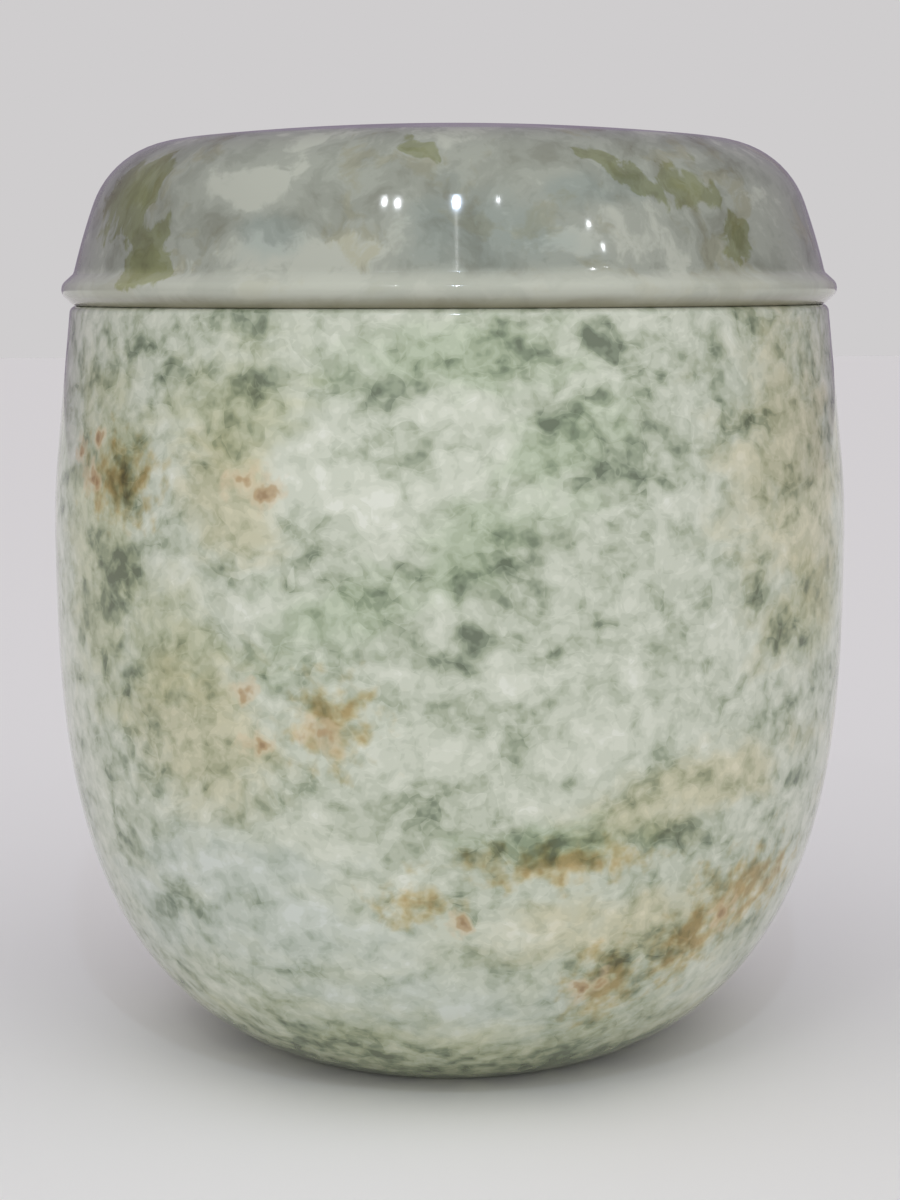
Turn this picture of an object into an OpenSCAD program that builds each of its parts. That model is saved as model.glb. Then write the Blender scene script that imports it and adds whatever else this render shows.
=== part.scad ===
// Cremation urn turned on a lathe from pale green serpentine marble.
// The body is one hollow block: a full round belly on a small flat foot, open at the top.
// The lid is a second hollow piece that lifts off: a low rounded cap with a bead round its base.
// The origin is the middle of the foot's underside, and +Z is the turning axis.

/* [Body outside] */
// Radius of the body at its belly
belly_r = 107.5; // [90:0.5:135]
// Height of the belly above the foot's underside
belly_z = 141.5; // [110:0.5:175]
// Height of the body, from the foot's underside to the rim
body_h = 202; // [185:0.5:250]
// Radius of the flat foot
foot_r = 49.5; // [30:0.5:70]
// Fullness of the wall below the belly, across: 2 is an ellipse and more is squarer
low_full_across = 2.8; // [2:0.05:4]
// Fullness of the wall below the belly, downwards
low_full_down = 2.95; // [2:0.05:4]
// Radius of the rim, before its edge is rounded
rim_r = 102.2; // [85:0.1:128]
// Height above the belly at which the wall stops curving and runs straight to the rim
straight_from = 20; // [5:1:40]
// Rounding of the rim's outer edge
rim_round = 2; // [0.5:0.1:4]

/* [Body inside] */
// Thickness of the wall at the belly
wall = 15; // [8:0.5:25]
// Thickness of the floor
floor_t = 18; // [10:0.5:30]
// Width of the rim, from its outer edge to the mouth
rim_w = 16.4; // [12:0.1:26]
// Depth of the straight mouth under the rim
mouth_depth = 14; // [10:0.5:24]
// Radius of the flat of the floor inside
floor_r = 38; // [20:1:60]

/* [Lid outside] */
// Height of the lid above the rim
lid_h = 47.4; // [38:0.1:58]
// Height of the bead round the lid's base
bead_h = 8.5; // [6:0.1:12]
// How far the bead's nose stands out past the rim
bead_out = 2.2; // [1:0.1:4]
// Rounding of the bead's nose
bead_round = 2.9; // [1.5:0.1:4]
// Half the angle that the bead's nose turns through, before its flanks run straight
bead_turn = 48; // [35:1:60]
// Hollow rounding where the bead meets the lid's side
bead_fillet = 0.7; // [0.3:0.1:1.5]
// Lean of the lid's side towards the axis, just above the bead
side_lean = 14; // [8:0.5:16]
// Angle at which the gently curved side turns into the tighter shoulder
shoulder_from = 20; // [18:1:60]
// Rounding of the shoulder
shoulder_r = 25; // [10:0.5:30]
// Angle at which the shoulder turns into the nearly flat crown
crown_from = 83.5; // [74:0.5:88]

/* [Lid inside] */
// Thickness of the lid's crown
crown_t = 13; // [9:0.5:20]
// Play all round between the lid's locating ring and the mouth
lid_play = 1; // [0.4:0.1:2]
// How far the locating ring reaches down into the mouth
ring_h = 8; // [4:0.5:9]
// Width of the locating ring
ring_w = 9; // [5:0.5:14]
// Rounding of the corner under the lid, where its hollow side turns into its ceiling
hollow_round = 20; // [8:1:22]

/* [Smoothness] */
// Steps along each large curve
curve_steps = 28; // [12:1:60]
// Steps along each small rounding
round_steps = 8; // [4:1:16]

/* [Hidden] */
$fn = 160;
stone_body = "#AEB5A0";
stone_lid = "#A2A698";

// Upper wall of the body: a gentle curve that runs out into a straight taper
upper_h = body_h - belly_z;
taper = (belly_r - rim_r) / (upper_h - straight_from / 2);
function upper_drop(h) = h < straight_from
    ? taper * h * h / (2 * straight_from)
    : taper * (h - straight_from / 2);

// Lower wall: a full curve from the belly, where it is upright, to the edge of a flat.
// Returns how far down it is, as a share of its height, at a share of its radius.
function low_share(r_share) = pow(1 - pow(r_share, low_full_across), 1 / low_full_down);
// The angle at which that curve reaches a share of its radius
function low_angle(r_share) = acos(pow(r_share, low_full_across / 2));
// Points of the curve, from a flat at height flat_z and radius flat_r up to the belly
function low_curve(r, flat_r, flat_z) = [
    for (i = [0 : curve_steps])
    let (a = low_angle(flat_r / r) * (1 - i / curve_steps))
    let (depth = (belly_z - flat_z) / low_share(flat_r / r))
    [r * pow(cos(a), 2 / low_full_across), belly_z - depth * pow(sin(a), 2 / low_full_down)]
];

// Points on an arc round a centre, from one angle to another
function arc(centre, r, from, to, steps) = [
    for (i = [0 : steps])
    let (a = from + (to - from) * i / steps)
    centre + r * [cos(a), sin(a)]
];

// Mouth of the body, and the wall under it
mouth_r = rim_r - rim_w;
function inner_upper_r(h) = belly_r - upper_drop(h) - wall;
lip_z = body_h - mouth_depth;
lip_inner_r = inner_upper_r(lip_z - belly_z);
// The mouth widens into the hollow at 45 degrees
flare_z = lip_z - max(0, lip_inner_r - mouth_r);

// Bead: a rounded nose between two straight flanks
nose_r = rim_r + bead_out;
nose_centre = [nose_r - bead_round, bead_h / 2];
flank_run = (bead_h / 2 - bead_round * sin(bead_turn)) * tan(bead_turn);
bead_foot_r = nose_centre[0] + bead_round * cos(bead_turn) - flank_run;

// Side, shoulder and crown of the lid: three arcs that run into each other.
// The side's radius follows from the lid's height, and the crown's from the shoulder's end.
crown_slope = (1 - sin(crown_from)) / cos(crown_from);
shoulder_rise = shoulder_r * (sin(crown_from) - sin(shoulder_from));
shoulder_in = shoulder_r * (cos(shoulder_from) - cos(crown_from));
side_rise = sin(shoulder_from) - sin(side_lean);
side_in = cos(side_lean) - cos(shoulder_from);
side_r = (lid_h - bead_h - shoulder_rise - crown_slope * (bead_foot_r - shoulder_in))
    / (side_rise - crown_slope * side_in);
side_centre = [bead_foot_r - side_r * cos(side_lean), bead_h - side_r * sin(side_lean)];
shoulder_centre = side_centre + (side_r - shoulder_r) * [cos(shoulder_from), sin(shoulder_from)];
crown_edge = shoulder_centre + shoulder_r * [cos(crown_from), sin(crown_from)];
crown_r = crown_edge[0] / cos(crown_from);
crown_centre = [0, lid_h - crown_r];

// Fillet between the bead's upper flank and the side of the lid, rolled in the corner
corner = 90 - bead_turn + side_lean;
fillet_reach = bead_fillet * tan(corner / 2);
fillet_low = [bead_foot_r, bead_h] + fillet_reach * [sin(bead_turn), -cos(bead_turn)];
fillet_centre = fillet_low + bead_fillet * [cos(bead_turn), sin(bead_turn)];
// Angle of the side at its first point clear of the fillet
side_from = side_lean + 2 * asin(fillet_reach / side_r);

// Locating ring and hollow under the lid
ring_r = mouth_r - lid_play;
hollow_r = ring_r - ring_w;
ceiling_z = lid_h - crown_t;

// Solid round of the body's outside
module body_outside() {
    upper = [
        for (i = [1 : curve_steps])
        let (h = (upper_h - rim_round) * i / curve_steps)
        [belly_r - upper_drop(h), belly_z + h]
    ];
    edge_r = belly_r - upper_drop(upper_h - rim_round);
    edge = arc([edge_r - rim_round, body_h - rim_round], rim_round, 0, 90, round_steps);
    rotate_extrude() polygon(concat([[0, 0]], low_curve(belly_r, foot_r, 0), upper, edge, [[0, body_h]]));
}

// The hollow of the body, cut a little past the rim
module body_inside() {
    upper = [
        for (i = [1 : curve_steps])
        let (h = (flare_z - belly_z) * i / curve_steps)
        [inner_upper_r(h), belly_z + h]
    ];
    rotate_extrude() polygon(concat(
        [[0, floor_t]],
        low_curve(belly_r - wall, floor_r, floor_t),
        upper,
        [[mouth_r, lip_z], [mouth_r, body_h + 1], [0, body_h + 1]]
    ));
}

// The hollow stone body
module urn_body() {
    color(stone_body)
    difference() {
        body_outside();
        body_inside();
    }
}

// Solid round of the lid's outside, with its locating ring; height 0 is the rim
module lid_outside() {
    nose = arc(nose_centre, bead_round, -bead_turn, bead_turn, round_steps);
    fillet = arc(fillet_centre, bead_fillet, 180 + bead_turn, 180 + side_lean, round_steps);
    side = arc(side_centre, side_r, side_from, shoulder_from, curve_steps);
    shoulder = arc(shoulder_centre, shoulder_r, shoulder_from, crown_from, round_steps);
    crown = arc(crown_centre, crown_r, crown_from, 90, round_steps);
    rotate_extrude() polygon(concat(
        [[0, -ring_h], [ring_r, -ring_h], [ring_r, 0], [bead_foot_r, 0]],
        nose, fillet, side, shoulder, crown
    ));
}

// The hollow under the lid, cut a little past the locating ring
module lid_inside() {
    corner_centre = [hollow_r - hollow_round, ceiling_z - hollow_round];
    rotate_extrude() polygon(concat(
        [[0, -ring_h - 1], [hollow_r, -ring_h - 1]],
        arc(corner_centre, hollow_round, 0, 90, round_steps * 2),
        [[0, ceiling_z]]
    ));
}

// The hollow stone lid, resting on the rim
module urn_lid() {
    color(stone_lid)
    translate([0, 0, body_h])
    difference() {
        lid_outside();
        lid_inside();
    }
}

urn_body();
urn_lid();
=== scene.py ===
# Cremation urn turned from pale green serpentine marble: a hollow body and a hollow lid that lifts off.
# The two pieces follow in the order in which they are put together, then the studio round them.
# Sizes are in millimetres and angles in degrees. Angle 0 is the front, on -Y, and goes up towards +X.
import math
import random

import bpy
from mathutils import Matrix, Vector


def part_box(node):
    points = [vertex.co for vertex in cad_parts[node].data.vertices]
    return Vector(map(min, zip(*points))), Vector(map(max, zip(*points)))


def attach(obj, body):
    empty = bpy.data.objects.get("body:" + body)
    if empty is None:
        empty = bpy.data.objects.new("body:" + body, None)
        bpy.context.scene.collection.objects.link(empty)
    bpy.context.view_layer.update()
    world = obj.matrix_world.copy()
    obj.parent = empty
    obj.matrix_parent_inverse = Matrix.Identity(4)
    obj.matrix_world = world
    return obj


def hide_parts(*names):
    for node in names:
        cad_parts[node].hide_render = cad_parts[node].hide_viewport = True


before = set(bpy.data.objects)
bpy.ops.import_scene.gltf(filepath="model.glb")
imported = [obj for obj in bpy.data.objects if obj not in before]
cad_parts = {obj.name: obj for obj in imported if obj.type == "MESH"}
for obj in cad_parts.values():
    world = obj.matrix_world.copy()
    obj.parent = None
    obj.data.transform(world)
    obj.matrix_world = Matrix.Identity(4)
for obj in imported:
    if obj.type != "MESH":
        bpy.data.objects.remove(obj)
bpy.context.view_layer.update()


# ---------------------------------------------------------------------------------------------------
# Body
# One block of pale green serpentine marble, bored out and turned to a round belly on a small flat foot.
# It is polished to a gloss, and its own colours show: nothing is painted, filled or fixed to it.
# ---------------------------------------------------------------------------------------------------
mm = 0.001
body_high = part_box("urn_body")[1]
belly_radius = body_high.x / mm
body_height = body_high.z / mm
belly_height = 141.5
foot_radius = 49.5
fullness_across = 2.8
fullness_down = 2.95
rim_radius = 102.2
straight_from = 20
rim_rounding = 2
rim_width = 16.4
mouth_depth = 14
wall_thickness = 15
floor_thickness = 18
hollow_foot_radius = 38
mouth_radius = rim_radius - rim_width

# How far the polisher eases every sharp edge, the longest step between two turned rings, the sides of
# each ring, and how near two points lie when they are welded into one
edge_ease = 0.7
longest_step = 2
turned_sides = 240
weld_distance = 0.001


def arc(centre, radius, start, end, steps):
    """Points along an arc of the outline, from one angle to another."""
    angles = [math.radians(start + (end - start) * i / steps) for i in range(steps + 1)]
    return [centre + radius * Vector((math.cos(a), math.sin(a))) for a in angles]


def low_wall(radius, flat_radius, flat_height, steps=80):
    """Wall under the belly: a full curve from the edge of a flat up to the belly, where it is upright."""
    flat_share = flat_radius / radius
    start = math.acos(flat_share ** (fullness_across / 2))
    drop = (belly_height - flat_height) / (1 - flat_share ** fullness_across) ** (1 / fullness_down)
    points = []
    for i in range(steps + 1):
        angle = start * (1 - i / steps)
        across = radius * math.cos(angle) ** (2 / fullness_across)
        points.append(Vector((across, belly_height - drop * math.sin(angle) ** (2 / fullness_down))))
    return points


def upper_wall(inset, start, end, steps=40):
    """Wall over the belly, between two heights: it curves in gently and then runs straight to the rim."""
    taper = (belly_radius - rim_radius) / (body_height - belly_height - straight_from / 2)
    points = []
    for i in range(steps + 1):
        height = start + (end - start) * i / steps
        above = height - belly_height
        curved = taper * above ** 2 / (2 * straight_from)
        straight = taper * (above - straight_from / 2)
        drop = curved if above < straight_from else straight
        points.append(Vector((belly_radius - inset - drop, height)))
    return points


def eased(outline, sharp=20, steps=5):
    """The outline with each corner sharper than an angle rounded off a little, as polishing leaves it."""
    points = [outline[0]]
    for before, corner, after in zip(outline, outline[1:], outline[2:]):
        into = before - corner
        out = after - corner
        if math.degrees(math.pi - into.angle(out)) < sharp:
            points.append(corner)
            continue
        first = corner + into.normalized() * min(edge_ease, into.length / 2)
        last = corner + out.normalized() * min(edge_ease, out.length / 2)
        for i in range(steps + 1):
            t = i / steps
            points.append(first * (1 - t) ** 2 + corner * 2 * t * (1 - t) + last * t ** 2)
    return points + [outline[-1]]


def stepped(outline):
    """The outline with more points along its long straights, so that the turned faces stay short."""
    points = [outline[0]]
    for start, end in zip(outline, outline[1:]):
        count = max(1, math.ceil((end - start).length / longest_step))
        points += [start.lerp(end, i / count) for i in range(1, count + 1)]
    return points


def add(tree, kind, inputs=None, **settings):
    """Adds a node. Settings are its own properties; inputs gives each socket a value or a link."""
    node = tree.nodes.new(kind)
    for name, value in settings.items():
        setattr(node, name, value)
    for socket, value in (inputs or {}).items():
        if isinstance(value, bpy.types.NodeSocket):
            tree.links.new(value, node.inputs[socket])
        else:
            node.inputs[socket].default_value = value
    return node


# The lathe: each ring of a grid takes one point of the outline, and each column one angle round Z
lathe = bpy.data.node_groups.new("lathe", "GeometryNodeTree")
lathe.interface.new_socket("Outline", in_out="INPUT", socket_type="NodeSocketGeometry")
lathe.interface.new_socket("Sides", in_out="INPUT", socket_type="NodeSocketInt")
lathe.interface.new_socket("Weld distance", in_out="INPUT", socket_type="NodeSocketFloat")
lathe.interface.new_socket("Stone", in_out="INPUT", socket_type="NodeSocketMaterial")
lathe.interface.new_socket("Turned piece", in_out="OUTPUT", socket_type="NodeSocketGeometry")
given = add(lathe, "NodeGroupInput").outputs
rings = add(lathe, "GeometryNodeAttributeDomainSize", {"Geometry": given["Outline"]}, component="MESH")
columns = add(lathe, "ShaderNodeMath", {0: given["Sides"], 1: 1.0}, operation="ADD").outputs[0]
counts = {"Vertices X": rings.outputs["Point Count"], "Vertices Y": columns}
sheet = add(lathe, "GeometryNodeMeshGrid", counts)
index = add(lathe, "GeometryNodeInputIndex").outputs[0]
share = add(lathe, "ShaderNodeMath", {0: index, 1: columns}, operation="DIVIDE").outputs[0]
ring = add(lathe, "ShaderNodeMath", {0: share}, operation="FLOOR").outputs[0]
column = add(lathe, "ShaderNodeMath", {0: index, 1: columns}, operation="MODULO").outputs[0]
whole_turns = add(lathe, "ShaderNodeMath", {0: column, 1: given["Sides"]}, operation="DIVIDE").outputs[0]
angle = add(lathe, "ShaderNodeMath", {0: whole_turns, 1: math.tau}, operation="MULTIPLY").outputs[0]
point = add(lathe, "GeometryNodeInputPosition").outputs[0]
drawn = add(
    lathe,
    "GeometryNodeSampleIndex",
    {"Geometry": given["Outline"], "Value": point, "Index": ring},
    data_type="FLOAT_VECTOR",
)
swing = {"Vector": drawn.outputs[0], "Angle": angle}
swung = add(lathe, "ShaderNodeVectorRotate", swing, rotation_type="Z_AXIS").outputs[0]
bent = {"Geometry": sheet.outputs["Mesh"], "Position": swung}
turned_sheet = add(lathe, "GeometryNodeSetPosition", bent)
closed = add(
    lathe,
    "GeometryNodeMergeByDistance",
    {"Geometry": turned_sheet.outputs[0], "Distance": given["Weld distance"]},
)
# The rings run so that the sheet faces inwards, so its faces are turned over
outward = add(lathe, "GeometryNodeFlipFaces", {"Mesh": closed.outputs[0]})
smooth = add(lathe, "GeometryNodeSetShadeSmooth", {"Geometry": outward.outputs[0]})
real = add(lathe, "GeometryNodeRealizeInstances", {"Geometry": smooth.outputs[0]})
faced = add(lathe, "GeometryNodeSetMaterial", {"Geometry": real.outputs[0], "Material": given["Stone"]})
add(lathe, "NodeGroupOutput", {"Turned piece": faced.outputs[0]})


def turn(name, outline, stone):
    """Turns an outline on the lathe and returns the finished piece as a plain mesh."""
    drawing = bpy.data.meshes.new(name + "_outline")
    corners = [(p.x * mm, 0, p.y * mm) for p in outline]
    drawing.from_pydata(corners, [(i, i + 1) for i in range(len(corners) - 1)], [])
    blank = bpy.data.objects.new(name + "_outline", drawing)
    bpy.context.scene.collection.objects.link(blank)
    turning = blank.modifiers.new("Lathe", "NODES")
    turning.node_group = lathe
    sockets = {s.name: s.identifier for s in lathe.interface.items_tree if s.in_out == "INPUT"}
    turning[sockets["Sides"]] = turned_sides
    turning[sockets["Weld distance"]] = weld_distance * mm
    turning[sockets["Stone"]] = stone
    view = bpy.context.evaluated_depsgraph_get()
    mesh = bpy.data.meshes.new_from_object(blank.evaluated_get(view))
    blank.modifiers.remove(turning)
    bpy.data.objects.remove(blank)
    piece = bpy.data.objects.new(name, mesh)
    bpy.context.scene.collection.objects.link(piece)
    return piece


outside = low_wall(belly_radius, foot_radius, 0)
outside += upper_wall(0, belly_height, body_height - rim_rounding)[1:]
rim_centre = Vector((outside[-1].x - rim_rounding, body_height - rim_rounding))
rim_edge = arc(rim_centre, rim_rounding, 0, 90, 8)
lip_height = body_height - mouth_depth
flare_height = lip_height - (upper_wall(wall_thickness, lip_height, lip_height, 1)[0].x - mouth_radius)
mouth = [Vector((mouth_radius, body_height)), Vector((mouth_radius, lip_height))]
hollow = upper_wall(wall_thickness, flare_height, belly_height)
hollow += low_wall(belly_radius - wall_thickness, hollow_foot_radius, floor_thickness)[-2::-1]
body_outline = [Vector((0, 0))] + outside + rim_edge[1:] + mouth + hollow + [Vector((0, floor_thickness))]


def srgb(colour):
    """Linear colour of an sRGB hex value."""
    shares = [int(colour[i : i + 2], 16) / 255 for i in (1, 3, 5)]
    return [s / 12.92 if s <= 0.04045 else ((s + 0.055) / 1.055) ** 2.4 for s in shares] + [1.0]


def outer_radius(height):
    """Radius of the body's outside at a height; over the rim it is the rim's."""
    for low, high in zip(outside, outside[1:]):
        if low.y <= height < high.y:
            return low.lerp(high, (height - low.y) / (high.y - low.y)).x
    return outside[-1].x


def pushed(tree, place, size, push, detail=0.0):
    """A place pushed about by curls of a size, so that whatever is drawn on it flows."""
    curl = {"Vector": place, "Scale": 1 / size, "Detail": detail}
    curls = add(tree, "ShaderNodeTexNoise", curl).outputs["Color"]
    centred = {0: curls, 1: (0.5, 0.5, 0.5)}
    even = add(tree, "ShaderNodeVectorMath", centred, operation="SUBTRACT").outputs[0]
    moved = {0: even, 1: (push, push, push), 2: place}
    return add(tree, "ShaderNodeVectorMath", moved, operation="MULTIPLY_ADD").outputs[0]


def layer(tree, under, colour, value, low, high, most=1.0, blend="MIX"):
    """Lays a colour over another, more and more of it as a value goes from low to high."""
    rise = {"Value": value, "From Min": low, "From Max": high, "To Max": most}
    share = add(tree, "ShaderNodeMapRange", rise, interpolation_type="SMOOTHSTEP").outputs[0]
    mixed = {0: share, 6: under, 7: srgb(colour)}
    return add(tree, "ShaderNodeMix", mixed, data_type="RGBA", blend_type=blend).outputs[2]


def ragged(tree, away, noise, amount):
    """A distance from a mark made uneven by a noise, so that the mark's edge breaks up."""
    uneven = {0: noise, 1: amount, 2: -amount / 2}
    part = add(tree, "ShaderNodeMath", uneven, operation="MULTIPLY_ADD").outputs[0]
    return add(tree, "ShaderNodeMath", {0: away, 1: part}, operation="ADD").outputs[0]


def unrolled(tree, place):
    """Place on the body unrolled flat, in millimetres: round it from the front, and up it."""
    xyz = add(tree, "ShaderNodeSeparateXYZ", {0: place}).outputs
    back = add(tree, "ShaderNodeMath", {0: xyz["Y"], 1: -1.0}, operation="MULTIPLY").outputs[0]
    angle = add(tree, "ShaderNodeMath", {0: xyz["X"], 1: back}, operation="ARCTAN2").outputs[0]
    round_it = add(tree, "ShaderNodeMath", {0: angle, 1: belly_radius}, operation="MULTIPLY").outputs[0]
    return add(tree, "ShaderNodeCombineXYZ", {"X": round_it, "Y": xyz["Z"]}).outputs[0]


def nearest_mark(tree, flat, marks):
    """How far a point lies from the nearest mark: 0 in its middle, 1 at its edge, more outside.
    A mark is its angle and height on the body, half its width, half its height and its slant."""
    slanted = {}
    nearest = None
    for angle, height, across, tall, slant in marks:
        tilt = math.radians(slant)
        if slant not in slanted:
            turned = {"Vector": flat, "Angle": -tilt}
            slanted[slant] = add(tree, "ShaderNodeVectorRotate", turned, rotation_type="Z_AXIS").outputs[0]
        middle = Vector((math.radians(angle) * belly_radius, height))
        middle.rotate(Matrix.Rotation(-tilt, 2))
        shrink = (outer_radius(height) / belly_radius / across, 1 / tall)
        local = {0: slanted[slant], 1: (*shrink, 0), 2: (-middle.x * shrink[0], -middle.y * shrink[1], 0)}
        off = add(tree, "ShaderNodeVectorMath", local, operation="MULTIPLY_ADD").outputs[0]
        away = add(tree, "ShaderNodeVectorMath", {0: off}, operation="LENGTH").outputs["Value"]
        if nearest is not None:
            away = add(tree, "ShaderNodeMath", {0: nearest, 1: away}, operation="MINIMUM").outputs[0]
        nearest = away
    return nearest


def raised(tree, tone, value, start, end, change):
    """Raises or lowers a tone, by more and more as a value goes from one level to another."""
    rise = {"Value": value, "From Min": start, "From Max": end, "To Max": change}
    lift = add(tree, "ShaderNodeMapRange", rise, interpolation_type="SMOOTHSTEP").outputs[0]
    return add(tree, "ShaderNodeMath", {0: tone, 1: lift}, operation="ADD").outputs[0]


def scattered(seed, clusters, across, tall):
    """Small marks scattered round each cluster's middle, always in the same way for the same seed.
    A cluster is its angle and height on the body, how far its marks spread, and how many there are."""
    draw = random.Random(seed)
    marks = []
    for angle, height, spread, count in clusters:
        for _ in range(count):
            aside = math.degrees(draw.uniform(-spread, spread) / belly_radius)
            up = draw.uniform(-spread, spread) / 2
            size = draw.uniform(0.7, 1.4)
            marks.append((angle + aside, height + up, across * size, tall * size, 0))
    return marks


# Where the marks lie: broad ones one by one, and small ones in clusters.
# The first value is half the width of a mark that goes all the way round.
full_turn = 340
# The third of these marks, a band all the way round at the foot, is painted shade that darkens the body
# towards the bottom
dark_places_and_foot_shade = [(10, 75, 10, 5, 0), (35, 75, 20, 5, 0), (0, 0, full_turn, 15, 0)]
dark_clusters = [
    (-35, 185, 20, 5), (20, 190, 25, 4), (20, 160, 15, 3), (50, 125, 15, 3), (-50, 130, 15, 2),
    (-5, 130, 25, 5), (50, 75, 15, 2), (-40, 50, 15, 2), (20, 45, 25, 2),
    (180, 130, 60, 6), (-110, 110, 60, 6), (110, 120, 60, 6),
]
dark_places_and_foot_shade += scattered(3, dark_clusters, 7, 4)
bright_places = [
    (-20, 165, 15, 10, 0), (-10, 150, 10, 10, 0), (30, 150, 10, 10, 0), (10, 115, 20, 5, 0),
    (35, 120, 10, 10, 0), (45, 80, 15, 10, 0), (-40, 65, 20, 10, 0), (-20, 50, 15, 10, 0),
    (20, 55, 25, 10, 0), (0, 30, 15, 10, 0), (50, 25, 15, 10, 0),
]
bright_places += scattered(5, [(180, 110, 90, 6), (-110, 110, 50, 4), (110, 110, 50, 4)], 20, 12)
ochre_places = [
    (-50, 160, 15, 10, 0), (-15, 105, 10, 10, 0), (-5, 60, 10, 5, 0), (25, 35, 10, 10, 0),
    (40, 45, 15, 10, 30), (50, 55, 20, 10, 0), (15, 70, 25, 5, 0),
    (160, 120, 15, 10, 30), (-145, 65, 20, 10, 0), (120, 170, 10, 5, 0),
]
green_places = [
    (5, 150, 25, 10, 30), (-15, 130, 25, 10, 20), (15, 170, 20, 10, 30), (0, 190, 30, 10, 0),
    (15, 75, 25, 5, 0), (170, 150, 30, 10, 30), (-120, 120, 25, 10, 20), (120, 95, 25, 10, 30),
]
# The band all the way round at the foot makes the body darker and more olive towards the bottom
olive_places = [
    (-55, 145, 20, 50, 0), (-30, 180, 20, 15, 30), (-40, 120, 20, 15, 0), (60, 125, 20, 15, 0),
    (0, 5, full_turn, 20, 0), (-110, 160, 25, 30, 0), (150, 80, 25, 15, 0),
]
cool_places = [
    (-35, 65, 35, 10, 0), (-25, 50, 30, 15, 0), (0, 30, 45, 10, 0), (-50, 50, 20, 15, 0),
    (-90, 60, 40, 20, 0), (100, 140, 30, 20, 0), (170, 60, 30, 20, 0),
]
warm_places = [
    (30, 50, 40, 10, 0), (35, 85, 40, 10, 10), (-35, 100, 25, 20, 0), (-30, 160, 15, 20, 0),
    (55, 160, 30, 40, 0), (90, 90, 35, 20, 0), (-150, 110, 35, 20, 0), (140, 160, 30, 15, 0),
]
rust_clusters = [
    (-55, 165, 15, 5), (-25, 160, 10, 2), (-20, 105, 15, 5), (0, 55, 5, 1), (20, 35, 10, 2),
    (45, 50, 5, 1), (165, 120, 10, 2), (-145, 65, 10, 2),
]
rust_places = scattered(7, rust_clusters, 2.5, 2.2)

# Serpentine marble ground through the grits and buffed: glassy clear gloss over soft cloudy colour
stone = bpy.data.materials.new("polished_serpentine_marble")
stone.use_nodes = True
tree = stone.node_tree
tree.nodes.clear()
metres = add(tree, "ShaderNodeTexCoord").outputs["Object"]
block = add(tree, "ShaderNodeVectorMath", {0: metres, 3: 1 / mm}, operation="SCALE").outputs[0]

# Sizes of the pattern in the stone, how far its curls and flows push it, and the tilt of its bed
curl_size = 8
curl_push = 6
flow_size = 24
flow_push = 12
cloud_size = 15
clot_size = 5
fine_size = 4.6
bed_tilt = 32
curled = pushed(tree, block, curl_size, curl_push, 1.0)
flowing = pushed(tree, curled, flow_size, flow_push)
bedding = {"Vector": flowing, "Rotation": (0, math.radians(bed_tilt), 0), "Scale": (0.75, 1, 1.35)}
bed = add(tree, "ShaderNodeMapping", bedding).outputs[0]
cloud_noise = {"Vector": bed, "Scale": 1 / cloud_size, "Detail": 3.0, "Roughness": 0.6}
clouds = add(tree, "ShaderNodeTexNoise", cloud_noise)
cloud = add(tree, "ShaderNodeSeparateColor", {0: clouds.outputs["Color"]}).outputs
clots = add(tree, "ShaderNodeTexVoronoi", {"Vector": curled, "Scale": 1 / clot_size})
clot = add(tree, "ShaderNodeSeparateColor", {0: clots.outputs["Color"]}).outputs
fine_noise = {"Vector": block, "Scale": 1 / fine_size, "Detail": 2.0, "Roughness": 0.5}
fines = add(tree, "ShaderNodeTexNoise", fine_noise)
fine = add(tree, "ShaderNodeSeparateColor", {0: fines.outputs["Color"]}).outputs
flat = unrolled(tree, curled)
dark_and_foot_shade = ragged(tree, nearest_mark(tree, flat, dark_places_and_foot_shade), cloud[1], 2.6)
bright = ragged(tree, nearest_mark(tree, flat, bright_places), cloud[2], 2.6)
ochre = ragged(tree, nearest_mark(tree, flat, ochre_places), fine[1], 3.0)
rust = ragged(tree, nearest_mark(tree, flat, rust_places), fine[2], 5.0)
green = ragged(tree, nearest_mark(tree, flat, green_places), cloud[2], 2.4)
olive = ragged(tree, nearest_mark(tree, flat, olive_places), cloud[2], 2.4)
cool = ragged(tree, nearest_mark(tree, flat, cool_places), cloud[1], 2.4)
warm = ragged(tree, nearest_mark(tree, flat, warm_places), cloud[1], 2.4)

# Tone: clouds, clots and fine specks added up, then the marked places, with the painted shade round the
# foot, and last its thin pale veins
tone = add(tree, "ShaderNodeMath", {0: cloud[0], 1: 0.8, 2: 0.095}, operation="MULTIPLY_ADD").outputs[0]
for value, amount, start in (
    (clots.outputs["Distance"], -0.1, 0.075),
    (clot[0], 0.09, -0.045),
    (fine[0], 0.56, -0.28),
):
    part = add(tree, "ShaderNodeMath", {0: value, 1: amount, 2: start}, operation="MULTIPLY_ADD").outputs[0]
    tone = add(tree, "ShaderNodeMath", {0: tone, 1: part}, operation="ADD").outputs[0]
tone = raised(tree, tone, bright, 1.5, 0.3, 0.08)
tone = raised(tree, tone, green, 1.3, 0.3, -0.05)
tone = raised(tree, tone, olive, 1.3, 0.3, -0.045)
tone = raised(tree, tone, cool, 1.3, 0.3, 0.06)
# The dark places lower the tone; round the foot this is painted shade
tone = raised(tree, tone, dark_and_foot_shade, 1.5, 0.3, -0.18)
off_vein = add(tree, "ShaderNodeMath", {0: cloud[1], 1: 0.5}, operation="SUBTRACT").outputs[0]
off_vein = add(tree, "ShaderNodeMath", {0: off_vein}, operation="ABSOLUTE").outputs[0]
tone = raised(tree, tone, off_vein, 0.02, 0.0, 0.045)

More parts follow.
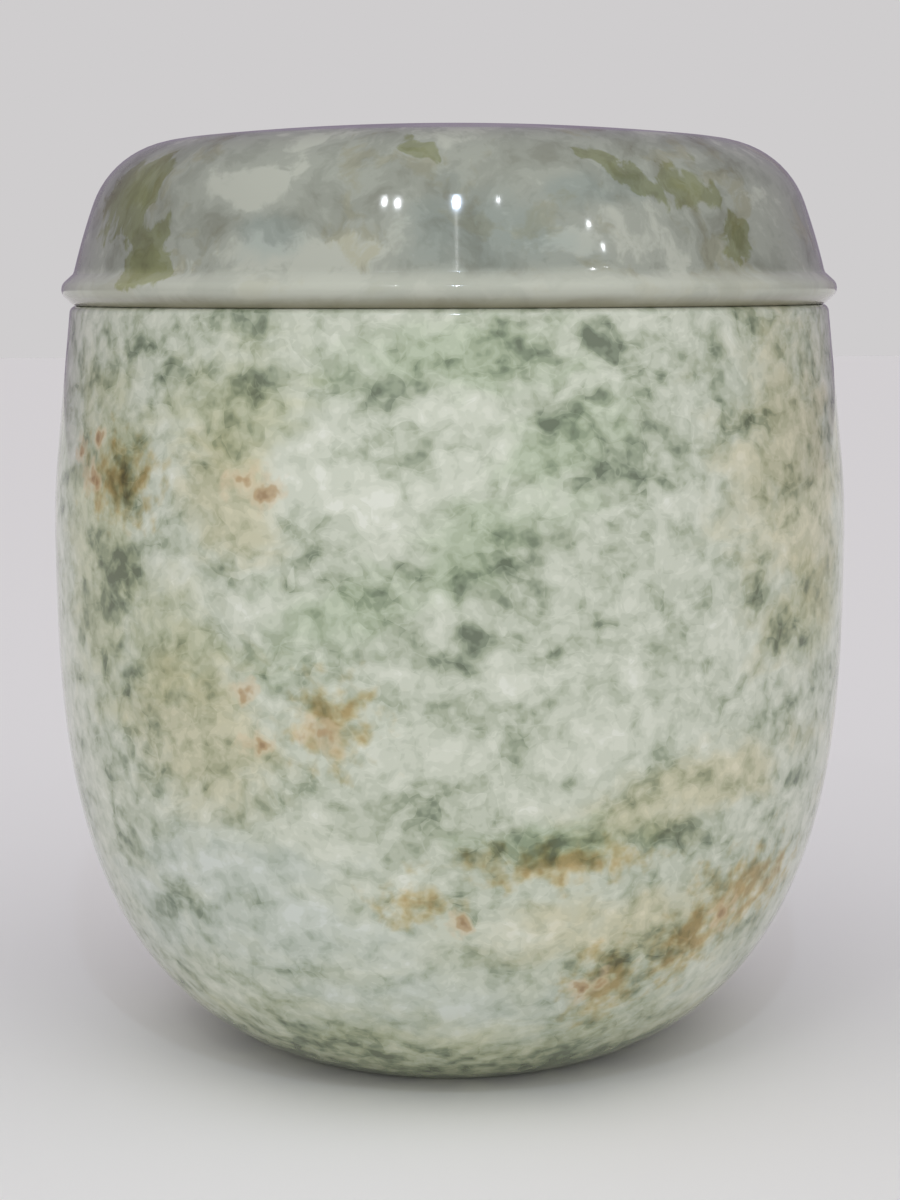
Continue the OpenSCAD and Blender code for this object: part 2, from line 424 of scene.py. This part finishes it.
colour = layer(tree, srgb("#69735E"), "#7F8A73", tone, 0.22, 0.29)
colour = layer(tree, colour, "#97A189", tone, 0.29, 0.35)
colour = layer(tree, colour, "#A9B19A", tone, 0.36, 0.41)
colour = layer(tree, colour, "#B6BDA8", tone, 0.42, 0.46)
colour = layer(tree, colour, "#C1C7B4", tone, 0.48, 0.52)
colour = layer(tree, colour, "#CBD0BE", tone, 0.55, 0.59)
colour = layer(tree, colour, "#D4D8C7", tone, 0.63, 0.68)
colour = layer(tree, colour, "#DEE1D3", tone, 0.72, 0.78)
colour = layer(tree, colour, "#EDF5E9", green, 1.4, 0.3, 0.9, "MULTIPLY")
colour = layer(tree, colour, "#F2F0DE", olive, 1.4, 0.3, 0.9, "MULTIPLY")
colour = layer(tree, colour, "#F0F4FA", cool, 1.4, 0.3, 0.9, "MULTIPLY")
colour = layer(tree, colour, "#FBF2DF", warm, 1.4, 0.3, 0.9, "MULTIPLY")
colour = layer(tree, colour, "#EEDDB9", ochre, 1.4, 0.4, 0.9, "MULTIPLY")
colour = layer(tree, colour, "#DFC9A0", ochre, 0.7, 0.0, 0.8, "MULTIPLY")
colour = layer(tree, colour, "#D6C3A0", rust, 2.0, 0.8, 0.5)
colour = layer(tree, colour, "#AB8C5E", rust, 0.9, 0.2, 0.65)
colour = layer(tree, colour, "#846541", rust, 0.2, -0.4, 0.55)
surface = add(tree, "ShaderNodeBsdfPrincipled", {"Base Color": colour, "Roughness": 0.08, "IOR": 1.56})
add(tree, "ShaderNodeOutputMaterial", {"Surface": surface.outputs[0]})

urn_body = turn("urn_body_stone", stepped(eased(body_outline)), stone)
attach(urn_body, "root")
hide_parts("urn_body")


# ---------------------------------------------------------------------------------------------------
# Lid
# A second block of the same quarry's stone, cloudier and greyer, turned to a low rounded cap with a bead
# round its base. It lifts off: a ring under it drops loosely into the mouth, and nothing fixes it.
# ---------------------------------------------------------------------------------------------------
lid_low, lid_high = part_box("urn_lid")
bead_nose_radius = lid_high.x / mm
lid_top = lid_high.z / mm
ring_foot = lid_low.z / mm
bead_height = 8.5
bead_rounding = 2.9
bead_turn = 48
bead_fillet = 0.7
side_lean = 14
shoulder_from = 20
shoulder_radius = 25
crown_from = 83.5
crown_thickness = 13
ring_play = 1
ring_width = 9
hollow_rounding = 20


def polar(angle):
    """Unit step at an angle of the outline."""
    return Vector((math.cos(math.radians(angle)), math.sin(math.radians(angle))))


# Bead: a rounded nose between two straight flanks, with a hollow fillet where it meets the side
nose_centre = Vector((bead_nose_radius - bead_rounding, body_height + bead_height / 2))
flank_rise = bead_height / 2 - bead_rounding * polar(bead_turn).y
flank_run = flank_rise * math.tan(math.radians(bead_turn))
bead_foot = nose_centre.x + bead_rounding * polar(bead_turn).x - flank_run
bead_top = Vector((bead_foot, body_height + bead_height))
fillet_reach = bead_fillet * math.tan(math.radians((90 - bead_turn + side_lean) / 2))
fillet_low = bead_top + fillet_reach * polar(bead_turn - 90)
fillet_centre = fillet_low + bead_fillet * polar(bead_turn)

# Side, shoulder and crown: three arcs that run into each other and end at the lid's height on the axis
crown_slope = (1 - polar(crown_from).y) / polar(crown_from).x
shoulder_step = shoulder_radius * (polar(crown_from) - polar(shoulder_from))
side_step = polar(shoulder_from) - polar(side_lean)
side_height = lid_top - bead_top.y - shoulder_step.y - crown_slope * (bead_foot + shoulder_step.x)
side_radius = side_height / (side_step.y + crown_slope * side_step.x)
side_centre = bead_top - side_radius * polar(side_lean)
side_from = side_lean + 2 * math.degrees(math.asin(fillet_reach / side_radius))
shoulder_centre = side_centre + (side_radius - shoulder_radius) * polar(shoulder_from)
crown_edge = shoulder_centre + shoulder_radius * polar(crown_from)
crown_radius = crown_edge.x / polar(crown_from).x
crown_centre = Vector((0, lid_top - crown_radius))

# Locating ring and the hollow inside it
ring_radius = mouth_radius - ring_play
hollow_radius = ring_radius - ring_width
ceiling = lid_top - crown_thickness
corner_centre = Vector((hollow_radius - hollow_rounding, ceiling - hollow_rounding))

lid_outline = [Vector((0, ceiling))]
lid_outline += arc(corner_centre, hollow_rounding, 90, 0, 24)
lid_outline += [Vector((hollow_radius, ring_foot)), Vector((ring_radius, ring_foot))]
lid_outline += [Vector((ring_radius, body_height)), Vector((bead_foot, body_height))]
lid_outline += arc(nose_centre, bead_rounding, -bead_turn, bead_turn, 16)
lid_outline += arc(fillet_centre, bead_fillet, 180 + bead_turn, 180 + side_lean, 6)
lid_outline += arc(side_centre, side_radius, side_from, shoulder_from, 32)
lid_outline += arc(shoulder_centre, shoulder_radius, shoulder_from, crown_from, 12)[1:]
lid_outline += arc(crown_centre, crown_radius, crown_from, 90, 50)[1:]

# The lid's marks, in the same terms as the body's; the first cloudy ring, round the bead, is a painted
# highlight that makes the bead paler all round
olive_patches = [
    (-55, 230, 15, 10, 0), (-45, 215, 10, 10, 0), (25, 235, 10, 3, -30), (40, 230, 10, 5, -20),
    (45, 220, 5, 8, -40), (-5, 240, 5, 2, -30), (150, 230, 15, 8, 20), (-140, 220, 10, 5, -30),
]
cloudy_patches = [
    (0, 205, full_turn, 5, 0), (0, 250, full_turn, 6, 0), (-30, 215, 15, 5, 0), (-15, 215, 15, 5, 0),
    (-30, 230, 10, 5, 0), (15, 215, 10, 5, 0), (45, 230, 15, 5, 0), (30, 220, 15, 8, 0),
    (120, 220, 20, 5, 0), (-160, 230, 20, 5, 0),
]
blue_patches = [
    (-25, 220, 10, 5, 0), (5, 220, 20, 10, 0), (20, 230, 15, 5, 0), (90, 220, 20, 10, 0),
    (-110, 230, 25, 10, 0), (180, 220, 25, 10, 0),
]

# The same marble from a cloudier, greyer bed, buffed to the same glassy gloss: broad soft clouds, few clots
lid_stone = bpy.data.materials.new("polished_cloudy_serpentine")
lid_stone.use_nodes = True
tree = lid_stone.node_tree
tree.nodes.clear()
metres = add(tree, "ShaderNodeTexCoord").outputs["Object"]
block = add(tree, "ShaderNodeVectorMath", {0: metres, 3: 1 / mm}, operation="SCALE").outputs[0]

# Sizes of the pattern in the lid's stone, and how far its flows push it
lid_curl_size = 7
lid_flow_size = 30
lid_flow_push = 18
lid_cloud_size = 18
curled = pushed(tree, block, lid_curl_size, curl_push, 1.0)
flowing = pushed(tree, curled, lid_flow_size, lid_flow_push)
lid_cloud_noise = {"Vector": flowing, "Scale": 1 / lid_cloud_size, "Detail": 5.0, "Roughness": 0.62}
clouds = add(tree, "ShaderNodeTexNoise", lid_cloud_noise)
cloud = add(tree, "ShaderNodeSeparateColor", {0: clouds.outputs["Color"]}).outputs
flat = unrolled(tree, curled)
olive = ragged(tree, nearest_mark(tree, flat, olive_patches), cloud[1], 4.5)
cloudy = ragged(tree, nearest_mark(tree, flat, cloudy_patches), cloud[2], 2.4)
blue = ragged(tree, nearest_mark(tree, flat, blue_patches), cloud[1], 2.4)

# Two level bands of painted light, a pale painted highlight on the bead and dark painted shade under its
# nose, so wide that they don't thin out towards the back
even_band = 2000
straight = unrolled(tree, block)
painted_highlight_bead_band = ragged(tree, nearest_mark(tree, straight, [(0, 206, even_band, 5, 0)]), cloud[1], 1.0)
painted_shade_under_bead = ragged(tree, nearest_mark(tree, straight, [(0, 201, even_band, 3.5, 0)]), cloud[2], 0.8)
# The cloudy patches raise the tone; the ring round the bead among them is a painted highlight
tone = raised(tree, cloud[0], cloudy, 1.5, 0.4, 0.14)
tone = raised(tree, tone, olive, 1.2, 0.7, -0.05)
colour = layer(tree, srgb("#6E6E5C"), "#7F8274", tone, 0.26, 0.36)
colour = layer(tree, colour, "#8C9083", tone, 0.36, 0.46)
colour = layer(tree, colour, "#979B8E", tone, 0.46, 0.54)
colour = layer(tree, colour, "#AEB1A3", tone, 0.56, 0.68)
colour = layer(tree, colour, "#E9F1F6", blue, 1.5, 0.3, 0.9, "MULTIPLY")
colour = layer(tree, colour, "#F4EEDD", cloud[2], 0.52, 0.62, 0.8, "MULTIPLY")
# Painted highlight: the bead made paler all round
colour = layer(tree, colour, "#BFC2B2", painted_highlight_bead_band, 1.2, 0.5, 0.6)
# Painted shade: dark olive-brown under the bead's nose
colour = layer(tree, colour, "#7D775C", painted_shade_under_bead, 1.3, 0.3, 0.8)
colour = layer(tree, colour, "#DDDFB8", olive, 1.1, 0.8, 0.95, "MULTIPLY")
colour = layer(tree, colour, "#E8E8CC", olive, 0.6, 0.2, 0.8, "MULTIPLY")
lid_surface = add(tree, "ShaderNodeBsdfPrincipled", {"Base Color": colour, "Roughness": 0.07, "IOR": 1.56})
add(tree, "ShaderNodeOutputMaterial", {"Surface": lid_surface.outputs[0]})

urn_lid = turn("urn_lid_stone", stepped(eased(lid_outline)), lid_stone)
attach(urn_lid, "root")
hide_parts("urn_lid")


# ---------------------------------------------------------------------------------------------------
# Studio
# A plain pale floor, a room whose soft light comes mostly from above and in front, and a few small bare
# lamps whose glints stand in the polish of the lid.
# ---------------------------------------------------------------------------------------------------
floor_size = 12000
floor_mesh = bpy.data.meshes.new("floor")
half = floor_size / 2 * mm
corners = [(-half, -half, 0), (half, -half, 0), (half, half, 0), (-half, half, 0)]
floor_mesh.from_pydata(corners, [], [(0, 1, 2, 3)])
floor = bpy.data.objects.new("floor", floor_mesh)
bpy.context.scene.collection.objects.link(floor)
floor_paint = bpy.data.materials.new("matt_white_paint")
floor_paint.use_nodes = True
floor_paint.node_tree.nodes.clear()
paint = add(floor_paint.node_tree, "ShaderNodeBsdfDiffuse", {"Color": srgb("#F0EFED")})
add(floor_paint.node_tree, "ShaderNodeOutputMaterial", {"Surface": paint.outputs[0]})
floor_mesh.materials.append(floor_paint)

# The room: brightest overhead and in front, dimmer and faintly lilac behind, with a pale grey backdrop
world = bpy.data.worlds.new("studio")
world.use_nodes = True
room = world.node_tree
room.nodes.clear()
towards = add(room, "ShaderNodeTexCoord").outputs["Generated"]
facing = {0: towards, 1: (0, -0.75, 0.66)}
lit = add(room, "ShaderNodeVectorMath", facing, operation="DOT_PRODUCT").outputs["Value"]
room_colour = layer(room, srgb("#7F7487"), "#FFFFFF", lit, -0.2, 1.0)
room_light = add(room, "ShaderNodeBackground", {"Color": room_colour, "Strength": 1.13})
backdrop = add(room, "ShaderNodeBackground", {"Color": srgb("#CFCDCE")})
seen = add(room, "ShaderNodeLightPath").outputs["Is Camera Ray"]
both = add(room, "ShaderNodeMixShader", {0: seen, 1: room_light.outputs[0], 2: backdrop.outputs[0]})
add(room, "ShaderNodeOutputWorld", {"Surface": both.outputs[0]})
bpy.context.scene.world = world
bpy.context.scene.view_settings.view_transform = "Standard"


def look_at(thing, target):
    """Turns a lamp to face a point."""
    thing.rotation_euler = (Vector(target) - thing.location).to_track_quat("-Z", "Y").to_euler()


lamp_distance = 1500


def small_lamp(name, bearing, rise, radius, power, colour):
    """A small bare lamp, placed by its bearing from the front and its rise over the body's rim."""
    light = bpy.data.lights.new(name, "POINT")
    light.shadow_soft_size = radius * mm
    light.energy = power
    light.color = srgb(colour)[:3]
    lamp = bpy.data.objects.new(name, light)
    level = lamp_distance * math.cos(math.radians(rise))
    bearing = math.radians(bearing)
    height = lamp_distance * math.sin(math.radians(rise)) + body_height
    lamp.location = Vector((level * math.sin(bearing), -level * math.cos(bearing), height)) * mm
    bpy.context.scene.collection.objects.link(lamp)


small_lamp("lamp_middle", 2.5, 38.5, 17, 5, "#CFE3FF")
small_lamp("lamp_left", -21.5, 38, 12, 1.0, "#F4F8FF")
small_lamp("lamp_left_inner", -17, 38, 13, 1.2, "#F4F8FF")
small_lamp("lamp_right", 16.5, 38.5, 8, 0.3, "#F4F8FF")
small_lamp("lamp_far_right", 45, 32, 8, 0.4, "#F4F8FF")
small_lamp("lamp_far_right_low", 48, 28, 8, 0.3, "#F4F8FF")

# A tube lamp hangs just under the middle one, facing the lid, and draws the fine streak down it
tube_width = 10
tube_length = 360
tube_light = bpy.data.lights.new("tube_lamp", "AREA")
tube_light.shape = "RECTANGLE"
tube_light.size = tube_width * mm
tube_light.size_y = tube_length * mm
tube_light.energy = 0.09
tube_lamp = bpy.data.objects.new("tube_lamp", tube_light)
tube_lamp.location = (50 * mm, -1200 * mm, 1000 * mm)
bpy.context.scene.collection.objects.link(tube_lamp)
look_at(tube_lamp, (0, -100 * mm, 220 * mm))

# Camera: as high as the lid's bead, looking slightly down, and a hair off to one side and off level
eye_aside = 0.25
eye_distance = 677
eye_height = 208.8
pitch = 7.42
roll = 0.15
focal_share = 2.054
camera_data = bpy.data.cameras.new("camera")
camera_data.lens = camera_data.sensor_width * focal_share
camera = bpy.data.objects.new("camera", camera_data)
camera.location = (eye_aside * mm, -eye_distance * mm, eye_height * mm)
camera.rotation_euler = (math.radians(90 - pitch), math.radians(roll), 0)
bpy.context.scene.collection.objects.link(camera)
bpy.context.scene.camera = camera
